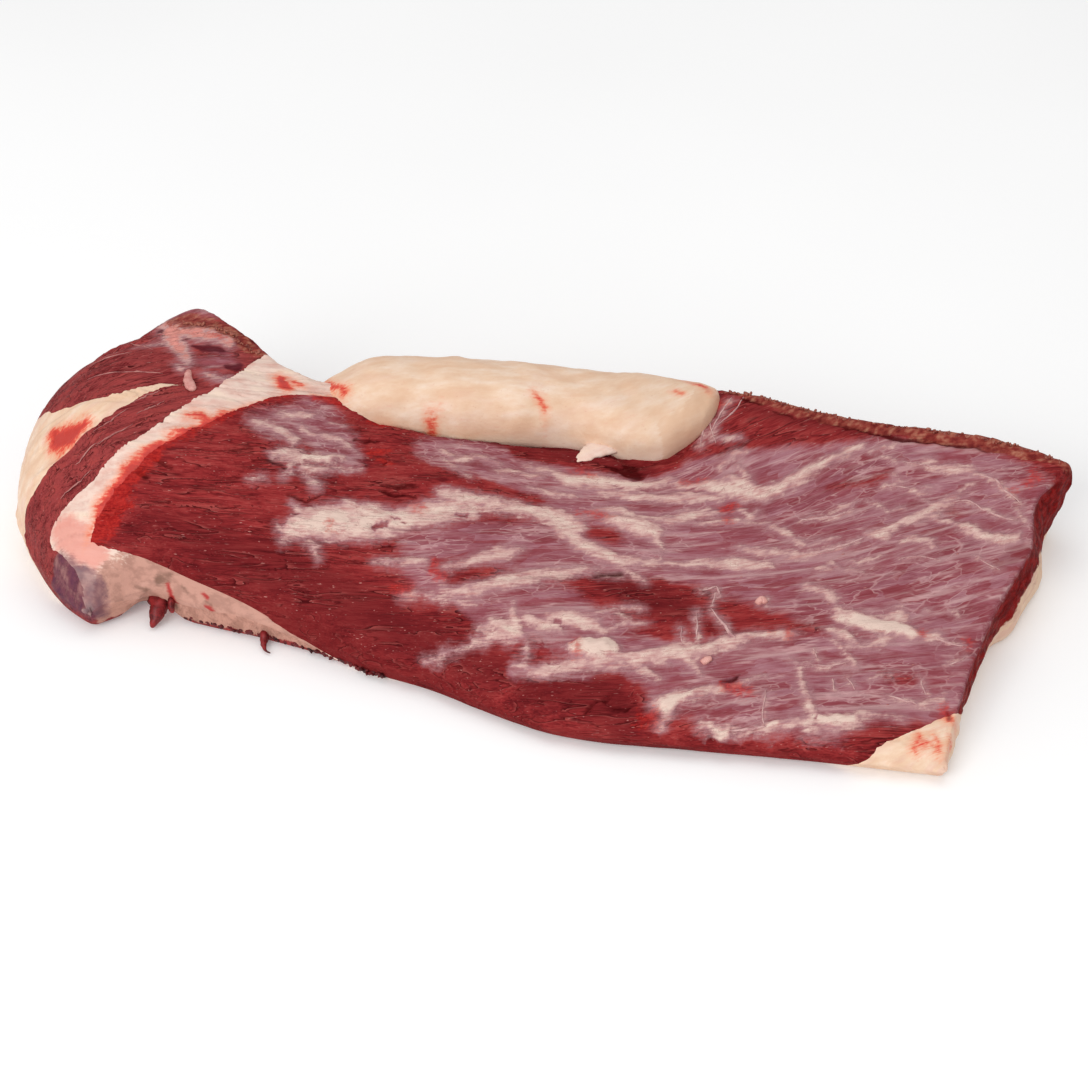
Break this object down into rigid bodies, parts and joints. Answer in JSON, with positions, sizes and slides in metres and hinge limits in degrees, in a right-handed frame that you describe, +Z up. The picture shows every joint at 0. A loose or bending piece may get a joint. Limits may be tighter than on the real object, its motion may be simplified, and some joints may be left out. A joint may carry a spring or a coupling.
{
  "type": "raw whole brisket",
  "caption": "Raw whole beef brisket, lean side up: flat and point muscles with a seam of fat between, a fat cap below and a lump of hard fat on one edge.",
  "frame": {"origin": "middle of the bounding box's lower face, on the surface the fat cap rests on", "axes": "+X along the grain from the thick point end to the squared-off flat end, +Y from the near edge to the edge with the hard fat, +Z up out of the lean side"},
  "size_m": [0.517, 0.2356, 0.0834],
  "materials": {
    "flat_muscle": "moist raw lean meat with marbling and silver skin",
    "seam_fat": "soft seam fat, stained with blood in places",
    "point_muscle": "moist raw lean meat, cut along the grain",
    "fat_cap": "smooth cream fat",
    "deckle_fat": "smooth hard fat with a slight sheen"
  },
  "bodies": {
    "root": {"flat_muscle": "flat_muscle", "seam_fat": "seam_fat", "point_muscle": "point_muscle", "fat_cap": "fat_cap", "deckle_fat": "deckle_fat"}
  },
  "joints": []
}
